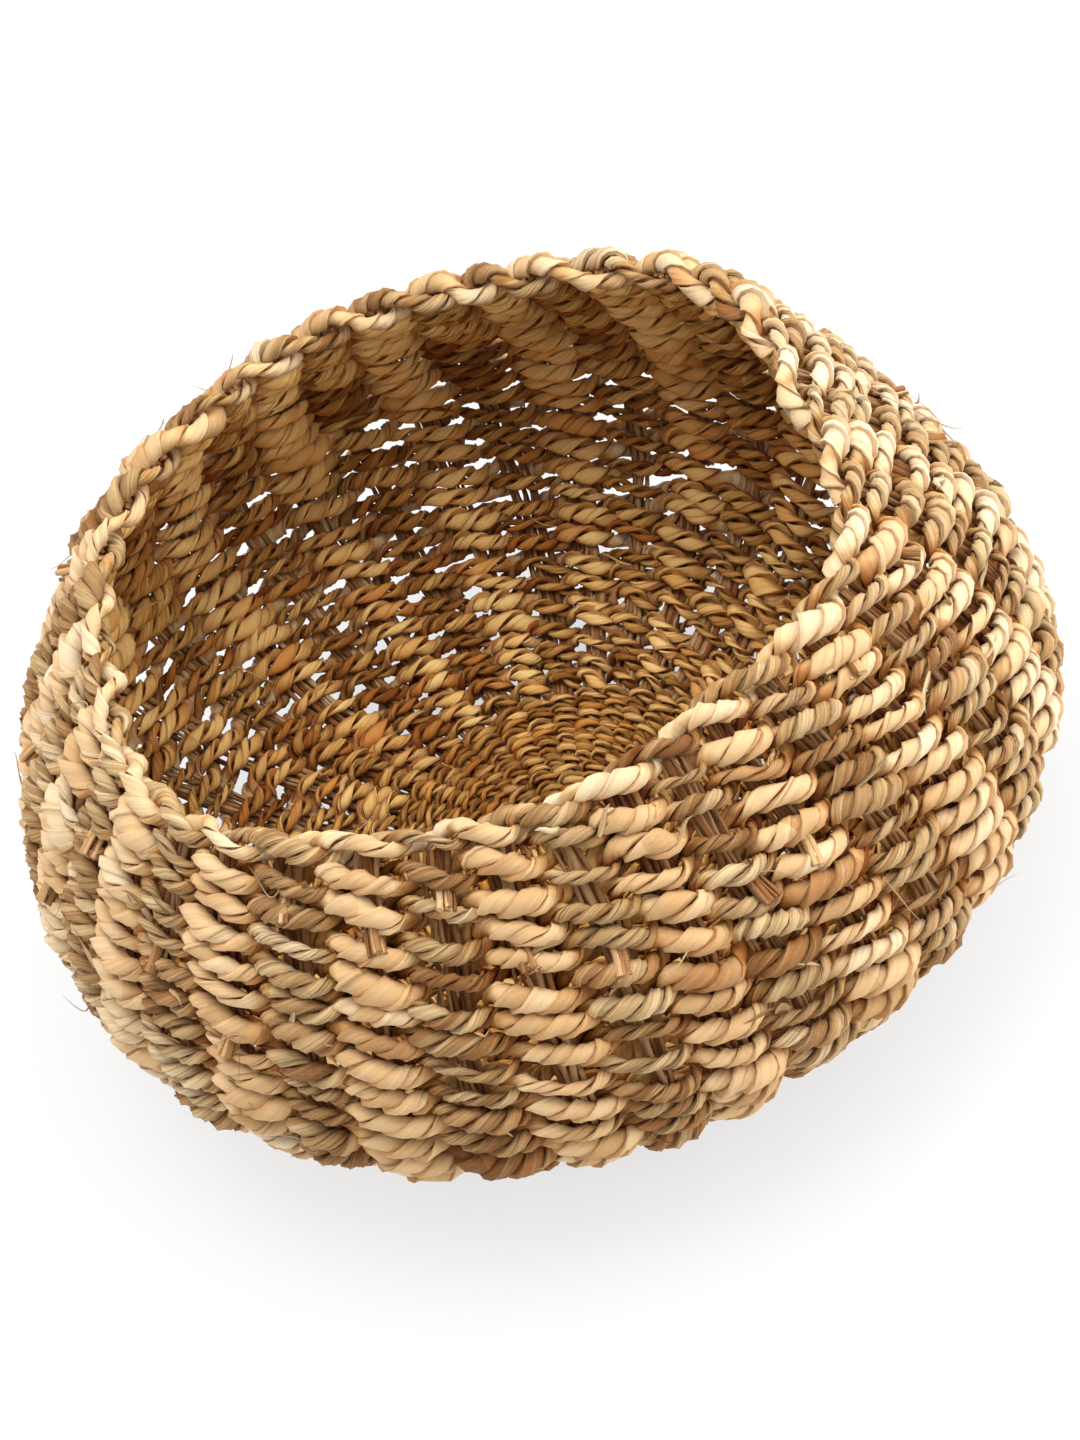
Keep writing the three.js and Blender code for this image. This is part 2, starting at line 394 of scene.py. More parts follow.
    mesh = sketch.add("GeometryNodeCurveToMesh", {
        "Curve": geometry, "Profile Curve": ring, "Scale": size}).outputs["Mesh"]
    middle = sketch.attribute("leafMiddle", "FLOAT_VECTOR")
    leafSide = sketch.attribute("leafSide", "FLOAT_VECTOR")
    position = sketch.add("GeometryNodeInputPosition").outputs[0]
    spoke = sketch.vector("SUBTRACT", position, middle)
    spread = sketch.math("MULTIPLY", sketch.attribute("leafSpread"), sockets["Leaf variety"])
    deep = sketch.math("MULTIPLY", sockets["Leaf depth"], sketch.math(
        "MULTIPLY_ADD", spread, -0.6, 1.0))
    wide = sketch.math("MULTIPLY", sockets["Leaf width"], sketch.math("ADD", spread, sketch.math(
        "MULTIPLY_ADD", pressed, sockets["Inside spread"], 1.0)))
    outPart = sketch.dot(spoke, leafOut)
    sidePart = sketch.dot(spoke, leafSide)
    crease = sketch.noise(sketch.joined(sketch.math("MULTIPLY", around, 7.0),
                          sketch.math("MULTIPLY", length, 160.0), seed), seed, 1.0, 2.0)
    crease = sketch.math("MULTIPLY_ADD", sketch.math("SUBTRACT", crease, 0.5),
                         sockets["Wrinkle"], 1.0)
    mesh = sketch.store(mesh, "coreSide", sketch.math("DIVIDE", outPart, size))
    rise = sketch.math("DIVIDE", sketch.math("ABSOLUTE", outPart), sketch.math(
        "MULTIPLY", size, 0.5))
    rise = sketch.math("MULTIPLY", sketch.math("POWER", rise, sockets["Sharpness"]),
                       sketch.math("SIGN", outPart))
    rise = sketch.math("MULTIPLY", rise, sketch.math("MULTIPLY", size, 0.5))
    shaped = sketch.vector("ADD", sketch.scaled(leafOut, sketch.math("MULTIPLY", rise, deep)),
                           sketch.scaled(leafSide, sketch.math("MULTIPLY", sidePart, wide)))
    mesh = sketch.add("GeometryNodeSetPosition", {"Geometry": mesh, "Position": sketch.vector(
        "ADD", middle, sketch.scaled(shaped, crease))}).outputs["Geometry"]
    for name in ("leafMiddle", "leafSide", "leafOut", "leafSpread", "twistWay", "wallOut"):
        mesh = sketch.add("GeometryNodeRemoveAttribute", {
            "Geometry": mesh, "Name": name}).outputs[0]
    finishNodes(sketch, mesh, sockets)
    return sketch.tree


def makeStemTree():
    # a loose bundle of thin stems along each guide line
    sketch, sockets = newTree("stemBundle", (
        ("Stems", "Int"), ("Stem size", "Float"), ("Stem variety", "Float"),
        ("Bundle depth", "Float"), ("Wander", "Float"), ("Sides", "Int"), ("Step", "Float"),
        ("Seed", "Int"), ("Material", "Material")))
    geometry, index, tangent, outward = strandNodes(sketch, sockets, sockets["Stems"])
    seed = sketch.attribute("strandSeed")
    length = sketch.attribute("strandLength")
    side = sketch.vector("CROSS_PRODUCT", tangent, outward)
    place = sketch.joined(sketch.math("MULTIPLY", length, 42.0), seed, 0.0)
    drift = [sketch.math("MULTIPLY", sketch.math("SUBTRACT", sketch.noise(
        place, sketch.math("ADD", seed, share * 7.0), 1.0), 0.5), sketch.math(
            "MULTIPLY", sockets["Wander"], share)) for share in (1.0, 0.4)]
    share = sketch.math("SUBTRACT", sketch.math("DIVIDE", sketch.math("ADD", index, 0.5),
                        sockets["Stems"]), 0.5)
    parity = sketch.math("SUBTRACT", sketch.math("MODULO", index, 2.0), 0.5)
    across = sketch.math("ADD", sketch.math("MULTIPLY", share, sketch.attribute("bundleWidth")),
                         drift[0])
    deep = sketch.math("ADD", sketch.math("MULTIPLY", parity, sockets["Bundle depth"]), drift[1])
    geometry = sketch.add("GeometryNodeSetPosition", {"Geometry": geometry, "Offset": sketch.vector(
        "ADD", sketch.scaled(side, across), sketch.scaled(outward, deep))}).outputs["Geometry"]
    size = sketch.math("MULTIPLY", sockets["Stem size"], sketch.math(
        "MULTIPLY_ADD", sketch.math("SUBTRACT", sketch.math(
            "FRACT", sketch.math("MULTIPLY", seed, 5.3)), 0.5), sockets["Stem variety"], 1.0))
    mesh = sketch.add("GeometryNodeCurveToMesh", {
        "Curve": geometry, "Profile Curve": roundRing(sketch, sockets), "Scale": size,
        "Fill Caps": True}).outputs["Mesh"]
    finishNodes(sketch, mesh, sockets)
    return sketch.tree


def makeBladeTree():
    # one flat leaf tip or one fibre along each guide line
    sketch, sockets = newTree("leafBlade", (
        ("Sides", "Int"), ("Thickness", "Float"), ("Curl", "Float"), ("Step", "Float"),
        ("Seed", "Int"), ("Material", "Material")))
    geometry, index, tangent, outward = strandNodes(sketch, sockets, 1)
    seed = sketch.attribute("strandSeed")
    length = sketch.attribute("strandLength")
    roll = sketch.math("MULTIPLY", sketch.math("SUBTRACT", sketch.noise(sketch.joined(
        sketch.math("MULTIPLY", length, 60.0), seed, 0.0), seed, 1.0), 0.5), sockets["Curl"])
    geometry = sketch.add("GeometryNodeSetCurveNormal", {
        "Curve": geometry, "Normal": sketch.turned(outward, tangent, roll)},
        mode="FREE").outputs["Curve"]
    ring = roundRing(sketch, sockets)
    flat = sketch.vector("MULTIPLY", sketch.add("GeometryNodeInputPosition").outputs[0],
                         sketch.joined(sockets["Thickness"], 1.0, 1.0))
    ring = sketch.add("GeometryNodeSetPosition", {"Geometry": ring, "Position": flat}).outputs[0]
    mesh = sketch.add("GeometryNodeCurveToMesh", {
        "Curve": geometry, "Profile Curve": ring, "Scale": sketch.attribute("cordSize"),
        "Fill Caps": True}).outputs["Mesh"]
    finishNodes(sketch, mesh, sockets)
    return sketch.tree


def grow(name, tree, guide, values, replaced=()):
    # runs a tree on a guide and keeps the result as a plain mesh that stands for CAD nodes
    modifier = guide.modifiers.new("grow", "NODES")
    modifier.node_group = tree
    for item in tree.interface.items_tree:
        if item.in_out == "INPUT" and item.name in values:
            modifier[item.identifier] = values[item.name]
    bpy.context.view_layer.update()
    evaluated = guide.evaluated_get(bpy.context.evaluated_depsgraph_get())
    mesh = bpy.data.meshes.new_from_object(evaluated)
    guide.modifiers.clear()
    bpy.data.objects.remove(guide)
    mesh.name = name
    piece = bpy.data.objects.new(name, mesh)
    bpy.context.scene.collection.objects.link(piece)
    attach(piece, "root")
    if replaced:
        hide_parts(*replaced)
    corners = np.empty(len(mesh.polygons), int)
    mesh.polygons.foreach_get("loop_total", corners)
    print(name, "made,", int(corners.sum() - 2 * len(corners)), "triangles")
    return piece


class LeafSketch(NodeSketch):
    # the same short ways, for a material
    def attribute(self, name):
        made = self.add("ShaderNodeAttribute")
        made.attribute_name = name
        return made.outputs["Fac"]

    def ramp(self, value, stops):
        made = self.add("ShaderNodeValToRGB", {0: value})
        while len(made.color_ramp.elements) < len(stops):
            made.color_ramp.elements.new(0.5)
        for element, (place, colour) in zip(made.color_ramp.elements, stops):
            element.position = place
            element.color = (*colour, 1)
        return made.outputs[0]

    def blend(self, share, first, second, kind="MIX"):
        made = self.add("ShaderNodeMix", data_type="RGBA", blend_type=kind)
        self.put(made.inputs[0], share)
        for socket, value in ((made.inputs[6], first), (made.inputs[7], second)):
            self.put(socket, (*value, 1) if isinstance(value, tuple) else value)
        return made.outputs[2]


# Where a strand changes colour, with painted shade and painted warm light among it. Passing is 1
# outside the stakes and -1 inside them.
shades = {
    "inside": (0.75, -0.30),  # passing where the inside's colour and its painted warm bounce light start, and where they are full
    "edge": (0.12, 0.0),  # share of a fold that its dark edge takes
    "core": (0.05, -0.09),  # the side of a leaf that faces the middle of its cord, painted darker as shade in the grooves
    "grooveShadeShare": 0.42, "grooveShadeInside": 0.24,
    "deep": (0.62, 0.15),  # passing on either side of the crossing between the stakes, where the cords are painted darker as shade
    "crossingShadeMiddle": -0.18, "crossingShadeColour": (0.48, 0.26, 0.14),
    "hidden": (0.50, -0.20),  # the side of an inner pass that faces the stakes, painted darker as shade
    "hiddenFacing": (0.0, 0.5), "hiddenShadeShare": 0.75, "hiddenShadeColour": (0.36, 0.20, 0.11),
    "patch": (0.50, 0.66), "patchScale": 24.0, "patchShare": 0.50,  # darker places inside
    "low": (0.065, 0.01),  # height between which the outside darkens towards the foot
    "lowColour": (0.78, 0.58, 0.42),
    "rustHeight": (0.10, 0.02), "rustShare": 0.75,
    "darkFibre": (0.52, 0.30), "paleFibre": (0.56, 0.76),  # of the fibres' noise
    "specular": 0.15,
}


def leafMaterial(name, finish):
    # dry leaf: tones change from leaf to leaf, with fibres, edges and stains along each strand;
    # painted shade in grooves and crossings, and painted warm light inside
    material = bpy.data.materials.new(name)
    material.use_nodes = True
    sketch = LeafSketch(material.node_tree)
    shader = material.node_tree.nodes["Principled BSDF"]
    seed, length = sketch.attribute("strandSeed"), sketch.attribute("strandLength")
    around, passing = sketch.attribute("around"), sketch.attribute("passing")
    object3d = sketch.add("ShaderNodeTexCoord").outputs["Object"]
    height = sketch.add("ShaderNodeSeparateXYZ", {0: object3d}).outputs["Z"]

    leaf = sketch.math("FLOOR", sketch.math("MULTIPLY_ADD", length, 1 / finish["leafLength"], seed))
    pick = sketch.add("ShaderNodeTexWhiteNoise", {"W": sketch.math(
        "MULTIPLY_ADD", seed, 13.7, leaf)}, noise_dimensions="1D")
    pickParts = sketch.add("ShaderNodeSeparateColor", {0: pick.outputs["Color"]})
    strip = sketch.math("FLOOR", sketch.math("MULTIPLY", around, finish["leafEdges"]))
    strip = sketch.math("MULTIPLY_ADD", strip, 5.3, sketch.math("MULTIPLY_ADD", seed, 13.7, leaf))
    stripPick = sketch.add("ShaderNodeTexWhiteNoise", {"W": strip}, noise_dimensions="1D")
    slow = sketch.noise(sketch.joined(sketch.math("MULTIPLY", length, 60.0), seed, 0.0), seed, 1.0,
                        2.0)
    inside = sketch.range(passing, *shades["inside"])
    # inner passes are painted lighter, as painted light
    value = sketch.math("MULTIPLY_ADD", inside, finish["insideLightLift"], finish["level"])
    value = sketch.math("ADD", sketch.attribute("tone"), value)
    variety = sketch.math("MULTIPLY_ADD", inside, finish["insideVariety"], finish["leafVariety"])
    value = sketch.math("MULTIPLY_ADD", sketch.math("SUBTRACT", pickParts.outputs[0], 0.5),
                        variety, value)
    value = sketch.math("MULTIPLY_ADD", sketch.math(
        "SUBTRACT", stripPick.outputs["Value"], 0.5), finish["stripVariety"], value)
    value = sketch.math("MULTIPLY_ADD", sketch.math("SUBTRACT", slow, 0.5), finish["drift"], value)
    colour = sketch.ramp(value, finish["tones"])

    angle = sketch.math("MULTIPLY", around, fullTurn)
    ringX = sketch.math("MULTIPLY", sketch.math("COSINE", angle), finish["fibres"])
    ringY = sketch.math("MULTIPLY", sketch.math("SINE", angle), finish["fibres"])
    fibre = sketch.noise(sketch.joined(ringX, ringY, sketch.math("MULTIPLY", length, 55.0)), seed,
                         1.0, 3.0)
    dark = sketch.range(fibre, *shades["darkFibre"])
    colour = sketch.blend(sketch.math("MULTIPLY", dark, finish["fibreShade"]), colour,
                          finish["fibreColour"])
    pale = sketch.range(fibre, *shades["paleFibre"])
    colour = sketch.blend(sketch.math("MULTIPLY", pale, finish["fibreGlow"]), colour,
                          finish["paleColour"])

    rust = sketch.range(sketch.math("MULTIPLY_ADD", inside, 0.06, pickParts.outputs[1]),
                        finish["rustFrom"], 1.0)
    low = sketch.range(height, *shades["rustHeight"], 0.35, 1.0)
    colour = sketch.blend(sketch.math("MULTIPLY", sketch.math("MULTIPLY", rust, low),
                                      shades["rustShare"]), colour, finish["rustColour"])
    edge = sketch.math("FRACT", sketch.math("MULTIPLY", around, finish["leafEdges"]))
    shade = sketch.math("MULTIPLY", sketch.range(edge, *shades["edge"]), sketch.math(
        "MULTIPLY_ADD", inside, finish["insideVariety"], finish["edgeShade"]))
    colour = sketch.blend(shade, colour, finish["fibreColour"])
    # painted shade in the grooves between the leaves of a cord
    core = sketch.range(sketch.attribute("coreSide"), *shades["core"])
    grooveShadeShare = sketch.math("MULTIPLY", core, sketch.math(
        "MULTIPLY_ADD", inside, shades["grooveShadeInside"], shades["grooveShadeShare"]))
    colour = sketch.blend(grooveShadeShare, colour, finish["grooveShadeColour"])
    # painted shade where the cords dive into the weave between the stakes
    crossing = sketch.math("ABSOLUTE", sketch.math("SUBTRACT", passing, shades["crossingShadeMiddle"]))
    deep = sketch.range(crossing, *shades["deep"])
    colour = sketch.blend(sketch.math("MULTIPLY", deep, finish["deepShade"]), colour,
                          shades["crossingShadeColour"], "MULTIPLY")
    # painted warm bounce light on the inner passes
    colour = sketch.blend(inside, colour, finish["insideWarmLight"], "MULTIPLY")
    # painted shade on the side of an inner pass that faces the stakes
    normal = sketch.add("ShaderNodeNewGeometry").outputs["Normal"]
    spoke = sketch.vector("NORMALIZE", sketch.vector("MULTIPLY", object3d, (1.0, 1.0, 0.0)))
    hidden = sketch.math(
        "MULTIPLY", sketch.range(sketch.dot(normal, spoke), *shades["hiddenFacing"]),
        sketch.range(passing, *shades["hidden"]))
    colour = sketch.blend(sketch.math("MULTIPLY", hidden, shades["hiddenShadeShare"]), colour,
                          shades["hiddenShadeColour"], "MULTIPLY")
    patch = sketch.range(sketch.noise(object3d, 0.0, shades["patchScale"], 2.0), *shades["patch"])
    colour = sketch.blend(sketch.math("MULTIPLY", sketch.math("MULTIPLY", patch, inside),
                                      shades["patchShare"]),
                          colour, finish["patchColour"], "MULTIPLY")
    under = sketch.math("MULTIPLY", sketch.range(height, *shades["low"]),
                        sketch.range(inside, 1.0, 0.3))
    colour = sketch.blend(sketch.math("MULTIPLY", under, finish["lowShade"]), colour,
                          shades["lowColour"], "MULTIPLY")
    sketch.put(shader.inputs["Base Color"], colour)

    crease = sketch.noise(sketch.joined(sketch.math("MULTIPLY", ringX, 0.35), sketch.math(
        "MULTIPLY", ringY, 0.35), sketch.math("MULTIPLY", length, 420.0)), seed, 1.0, 2.0)
    relief = sketch.math("ADD", sketch.math("MULTIPLY", fibre, finish["fibreRelief"]),
                         sketch.math("MULTIPLY", crease, finish["creaseRelief"]))
    bump = sketch.add("ShaderNodeBump", {"Height": relief, "Strength": 0.9, "Distance": 0.001})
    sketch.put(shader.inputs["Normal"], bump.outputs[0])
    sketch.put(shader.inputs["Roughness"], sketch.range(fibre, 0.3, 0.7, finish["roughness"] + 0.1,
                                                        finish["roughness"] - 0.08))
    shader.inputs["Specular IOR Level"].default_value = shades["specular"]
    return material


creamFinish = {
    "tones": ((0.0, (0.34, 0.165, 0.060)), (0.26, (0.57, 0.350, 0.160)),
              (0.50, (0.72, 0.490, 0.258)), (0.75, (0.78, 0.615, 0.390)),
              (1.0, (0.81, 0.690, 0.480))),
    "level": 0.54, "leafVariety": 0.26, "stripVariety": 0.14, "leafLength": 0.10, "drift": 0.40,
    "fibres": 2.2, "fibreShade": 0.44, "fibreGlow": 0.26, "fibreColour": (0.58, 0.29, 0.100),
    "paleColour": (0.90, 0.73, 0.49), "rustFrom": 0.90, "rustColour": (0.57, 0.24, 0.075),
    "grooveShadeColour": (0.36, 0.145, 0.038), "deepShade": 0.58, "lowShade": 0.40, "leafEdges": 2,
    "edgeShade": 0.22, "insideWarmLight": (1.21, 0.99, 0.555), "insideLightLift": 0.34,
    "insideVariety": 0.40, "patchColour": (0.50, 0.34, 0.24), "fibreRelief": 0.70,
    "creaseRelief": 0.42, "roughness": 0.58,
}
oliveFinish = {
    **creamFinish,
    "tones": ((0.0, (0.22, 0.090, 0.026)), (0.26, (0.35, 0.185, 0.070)),
              (0.52, (0.49, 0.320, 0.145)), (0.75, (0.63, 0.450, 0.235)),
              (1.0, (0.78, 0.600, 0.365))),
    "level": 0.52, "insideLightLift": 0.04, "insideVariety": 0.50, "leafVariety": 0.44,
    "stripVariety": 0.50, "leafLength": 0.08, "fibres": 3.0, "fibreShade": 0.70, "fibreGlow": 0.40,
    "fibreColour": (0.21, 0.090, 0.028), "paleColour": (0.74, 0.53, 0.29), "rustFrom": 0.72,
    "rustColour": (0.48, 0.19, 0.055), "grooveShadeColour": (0.15, 0.055, 0.015), "lowShade": 0.85,
    "leafEdges": 6, "edgeShade": 0.5, "roughness": 0.66,
}
baseFinish = {
    **oliveFinish, "level": 0.74, "leafVariety": 0.6, "rustColour": (0.60, 0.29, 0.08),
}
stemFinish = {
    **oliveFinish,
    "tones": ((0.0, (0.22, 0.085, 0.025)), (0.35, (0.43, 0.205, 0.072)),
              (0.7, (0.63, 0.365, 0.155)), (1.0, (0.82, 0.56, 0.29))),
    "level": 0.42, "leafVariety": 0.9, "leafLength": 0.4, "fibres": 1.2, "fibreShade": 0.45,
    "fibreGlow": 0.3, "leafEdges": 1, "edgeShade": 0.0, "insideWarmLight": (1, 1, 1),
    "insideLightLift": 0.0, "deepShade": 0.0,
}
creamLeaf = leafMaterial("creamLeaf", creamFinish)
oliveLeaf = leafMaterial("oliveLeaf", oliveFinish)
baseLeaf = leafMaterial("baseLeaf", baseFinish)
dryStem = leafMaterial("dryStem", stemFinish)
cordTree = makeCordTree()
stemTree = makeStemTree()
bladeTree = makeBladeTree()
print("materials and node trees made")

# Cords of the twining, in metres: swing is how far they pass from the wall's middle, rise is half
# of how far the pair parts where it crosses, lay is the length of one turn of the two leaves.
creamCord = {
    "diameter": 0.0065, "swing": 0.0044, "rise": 0.0028, "pinch": 0.80, "lay": 0.0166,
    "sag": 0.0017, "stray": 0.0010, "mottle": 0.09, "insideGrowth": -0.10, "insideLay": 0.10,
    "uneven": 0.21, "unevenStep": 0.08, "unevenSwing": 0.10, "unevenRise": 0.25,
    "unevenLay": 0.16,
}
oliveCord = {**creamCord, "diameter": 0.0063, "lay": 0.0145, "mottle": 0.14}
rimCord = {"swing": 0.0037, "rise": 0.0027, "diameter": 0.0070, "sag": 0.0009, "lay": 0.0165}
creamRoll = {
    "Leaf reach": 0.255, "Leaf width": 0.80, "Leaf depth": 0.38, "Inside spread": 0.0,
    "Inside flatness": 0.30, "Leaf lean": 0.36, "Leaf variety": 0.8, "Leaf roll": 5.0,
    "Leaf tilt": 1.3, "Sharpness": 1.6, "Sides": 12, "Leaf edges": 2, "Edge lift": 0.22,
    "Groove": 0.0, "Wrinkle": 0.36, "Step": 0.0018, "Material": creamLeaf,
}
oliveRoll = {
    **creamRoll, "Leaf width": 0.64, "Leaf depth": 0.46, "Leaf tilt": 0.8, "Sharpness": 1.25,
    "Edge lift": 0.0, "Groove": 0.22, "Leaf variety": 0.6, "Material": oliveLeaf,
}
twining = {
    "rounds": 24, "perBand": 6, "bands": ("foot", "belly", "shoulder", "neck"),
    "insideSpread": (0.0, -0.02, 0.01, -0.15),  # of the leaves, in each band
    "rimRoom": 0.0048,
    "firstPitch": 0.8,  # of the rounds at the foot, as a share of the even pitch
    "footDiameter": 0.84, "footGrowth": 0.027,  # share at the first round, and more on each next
    "neckGrowth": 0.11,
}


def roundPlace(number):
    # the rounds are pressed closer near the foot than near the rim
    share = (number + 0.5) / twining["rounds"]
    tight = twining["firstPitch"]
    share = tight * share + (1 - tight) * share ** 1.5
    return wall["discRadius"] + (wallLength - twining["rimRoom"] - wall["discRadius"]) * share


def twineWall():
    for number, band in enumerate(twining["bands"]):
        rounds = range(number * twining["perBand"], (number + 1) * twining["perBand"])
        for label, phase, cord, roll, slot in (
                ("Cream", 0, creamCord, creamRoll, "cream_seagrass"),
                ("Olive", 1, oliveCord, oliveRoll, "olive_seagrass")):
            paths = []
            for count in rounds:
                grown = min(twining["footDiameter"] + count * twining["footGrowth"], 1)
                grown = grown + twining["neckGrowth"] * (count / twining["rounds"])
                paths.append(cordPath(roundPlace(count), phase, {
                    **cord, "diameter": cord["diameter"] * grown}))
            grow(band + label, cordTree, guideMesh(paths), {
                **roll, "Inside spread": twining["insideSpread"][number], "Seed": number},
                ["outer_weave_" + band, "inner_weave_" + band])


def twineRim():
    for label, phase, cord, roll, slot in (
            ("rimCream", 0, creamCord, creamRoll, "cream_seagrass"),
            ("rimOlive", 1, oliveCord, oliveRoll, "olive_seagrass")):
        path = cordPath(wallLength, phase, {**cord, **rimCord})
        path["passing"] = np.abs(path["passing"])  # the rim shows all round
        grow(label, cordTree, guideMesh([path]), {
            **roll, "Inside spread": 0.1, "Inside flatness": 0.0, "Seed": 9},
            ["rim_cream_cord" if phase == 0 else "rim_olive_cord"])


# The base's cords are finer, and in its middle one pass spans two or four stakes
baseTwining = {
    "rounds": 13, "firstRadius": 0.0070, "lastRadius": 0.0664, "fourStakes": 0.017,
    "twoStakes": 0.036,
    "cord": {"diameter": 0.0047, "swing": 0.0031, "rise": 0.0012, "lay": 0.018, "sag": 0.0004,
             "stray": 0.0003},
    "roll": {"Step": 0.0019, "Sides": 10, "Material": baseLeaf},
}


def twineBase():
    rounds = baseTwining["rounds"]
    inner, outer = baseTwining["firstRadius"], baseTwining["lastRadius"]
    for label, phase, slot in (("baseWeave", 0, "inside_seagrass"),
                               ("baseWeft", 1, "olive_seagrass")):
        paths = []
        for count in range(rounds):
            radius = inner + count / (rounds - 1) * (outer - inner)
            every = (4 if radius < baseTwining["fourStakes"]
                     else 2 if radius < baseTwining["twoStakes"] else 1)
            paths.append(cordPath(radius, phase, {**oliveCord, **baseTwining["cord"]}, every))
        grow(label, cordTree, guideMesh(paths), {
            **oliveRoll, **baseTwining["roll"], "Seed": 20 + phase},
            ["base_inside", "base_underside"])


bundle = {
    "starts": (0.002, 0.015, 0.033),  # from the base's middle: each fourth stake, second and odd
    "pointStep": 0.004, "roomShare": 0.5, "thinnest": 0.0025, "uneven": (0.75, 1.2),
    "mottle": 0.1,
    "stems": {"Stems": 8, "Stem size": 0.0018, "Stem variety": 0.9, "Bundle depth": 0.0013,
              "Wander": 0.0080, "Sides": 5, "Step": 0.0058, "Seed": 4, "Material": dryStem},
}


def standStakes():
    # stem bundles from the middle of the base to the rim
    paths = []
    for number in range(stakes["count"]):
        start = bundle["starts"][0 if number % 4 == 0 else 1 if number % 2 == 0 else 2]
        along = np.arange(start, wallLength + 0.001, bundle["pointStep"])
        even = math.radians(stakes["firstAngle"]) + number / stakes["count"] * fullTurn
        azimuth = even + math.radians(stakes["wander"]) * readWaves(stakeWaves, even, along)
        middle, outward = wallPlace(along, azimuth)[:2]
        room = np.hypot(middle[:, 0], middle[:, 1]) * fullTurn / stakes["count"]
        width = np.clip(room * bundle["roomShare"], bundle["thinnest"], stakes["width"])
        width = width * dice.uniform(*bundle["uneven"])
        paths.append({"points": middle, "wallOut": outward, "bundleWidth": width,
                      "tone": np.full(len(along), dice.normal(0, bundle["mottle"])),
                      "passing": np.zeros(len(along))})
    names = ["stake_%02d" % (number + 1) for number in range(stakes["count"])]
    grow("stakeBundles", stemTree, guideMesh(paths, False), bundle["stems"],
         names + ["base_hub"])


def wallCurve(azimuth, along, out):
    # a line through places given by azimuth, length along the wall and distance from its middle
    middle, outward = wallPlace(along, azimuth)[:2]
    return middle + outward * np.asarray(out, float)[:, None], outward


def eased(values, count):
    # a smooth run of count values through a few given ones
    values = np.asarray(values, float)
    place = np.linspace(0, len(values) - 1, count)
    coarse = np.interp(place, np.arange(len(values)), values)
    soft = coarse.copy()
    soft[1:-1] = (coarse[:-2] + 2 * coarse[1:-1] + coarse[2:]) / 4
    return soft


tucked = {
    "share": 0.75,  # of the stakes
    "rounds": (17, 23), "aboveRound": 0.0045, "length": 0.0056, "lengths": (0.7, 1.25),
    "points": 9, "wander": 0.012, "lean": 0.020,  # in radians round the basket
    "start": 0.006, "bend": 0.001, "depths": (0.001, 0.0036, 0.0064), "flare": 0.001,
    "width": 0.0035, "cutWidth": (0.0042, 0.0062), "tone": (0.05, 0.12),
    "stems": {"Stems": 9, "Stem size": 0.0017, "Stem variety": 0.8, "Bundle depth": 0.0022,
              "Wander": 0.0040, "Sides": 6, "Step": 0.0022, "Seed": 31, "Material": dryStem},
}


def tuckStakeEnds():
    # each stake's end turns down over the rim and is cut off some rounds below it
    paths = []
    count = tucked["points"]
    for number in range(stakes["count"]):
        if dice.random() > tucked["share"]:
            continue
        top = roundPlace(dice.integers(*tucked["rounds"])) + tucked["aboveRound"]
        azimuth = stakeAngles(top)[number] + dice.normal(0, tucked["wander"])
        lean = dice.normal(0, tucked["lean"])
        reach = dice.uniform(*tucked["lengths"])
        inner, bent, outer = tucked["depths"]
        points, outward = wallCurve(
            eased([azimuth, azimuth + lean * 0.3, azimuth + lean], count),
            eased([top + tucked["start"], top - tucked["bend"], top - tucked["length"] * reach],
                  count),
            eased([inner, bent, outer + tucked["flare"] * reach], count))
        cut = dice.uniform(*tucked["cutWidth"])
        paths.append({"points": points, "wallOut": outward, "passing": np.ones(count),
                      "bundleWidth": np.linspace(tucked["width"], cut, count),
                      "tone": np.full(count, dice.normal(*tucked["tone"]))})
    grow("stakeEnds", stemTree, guideMesh(paths, False), tucked["stems"])


def liftTips(name, tips, seed, material):
    # ends of spliced leaves and fibres that stand a little off the cords
    paths = []
    for _ in range(tips["count"]):
        inside = dice.random() < tips["inside"]
        along = dice.uniform(tips["from"], wallLength + 0.002)
        azimuth = dice.uniform(0, fullTurn)
        radius = np.interp(along, wallAlong, wallLine[:, 0])
        length = tips["length"] * dice.uniform(*tips["lengths"])
        heading = dice.choice([-1, 1]) * abs(dice.normal(tips["heading"], tips["spread"]))
        around, climb = length * math.cos(heading), length * math.sin(heading)
        around *= dice.choice([-1, 1])
        lift = dice.uniform(*tips["lifts"]) * tips["lift"]
        bow = dice.normal(0, tips["bow"], 2)
        count, face = tips["points"], -1 if inside else 1
        share = np.linspace(0, 1, count)
        wave = np.sin(share * math.pi) * bow[0] + np.sin(share * fullTurn) * bow[1]
        points, outward = wallCurve(
            azimuth + (around * share) / radius, along + climb * share + wave,
            (tips["start"] + lift * share ** 1.6) * face)
        taper = (1 - share ** 2 * 0.9) * (0.5 + 0.5 * np.minimum(share * 4, 1))
        paths.append({"points": points, "wallOut": outward * face,
                      "passing": np.full(count, float(face)),
                      "cordSize": tips["width"] * dice.uniform(*tips["widths"]) * taper,
                      "tone": np.full(count, dice.normal(0, tips["mottle"])),
                      "coreSide": np.ones(count)})
    grow(name, bladeTree, guideMesh(paths, False), {
        **tips["blade"], "Seed": seed, "Material": material})


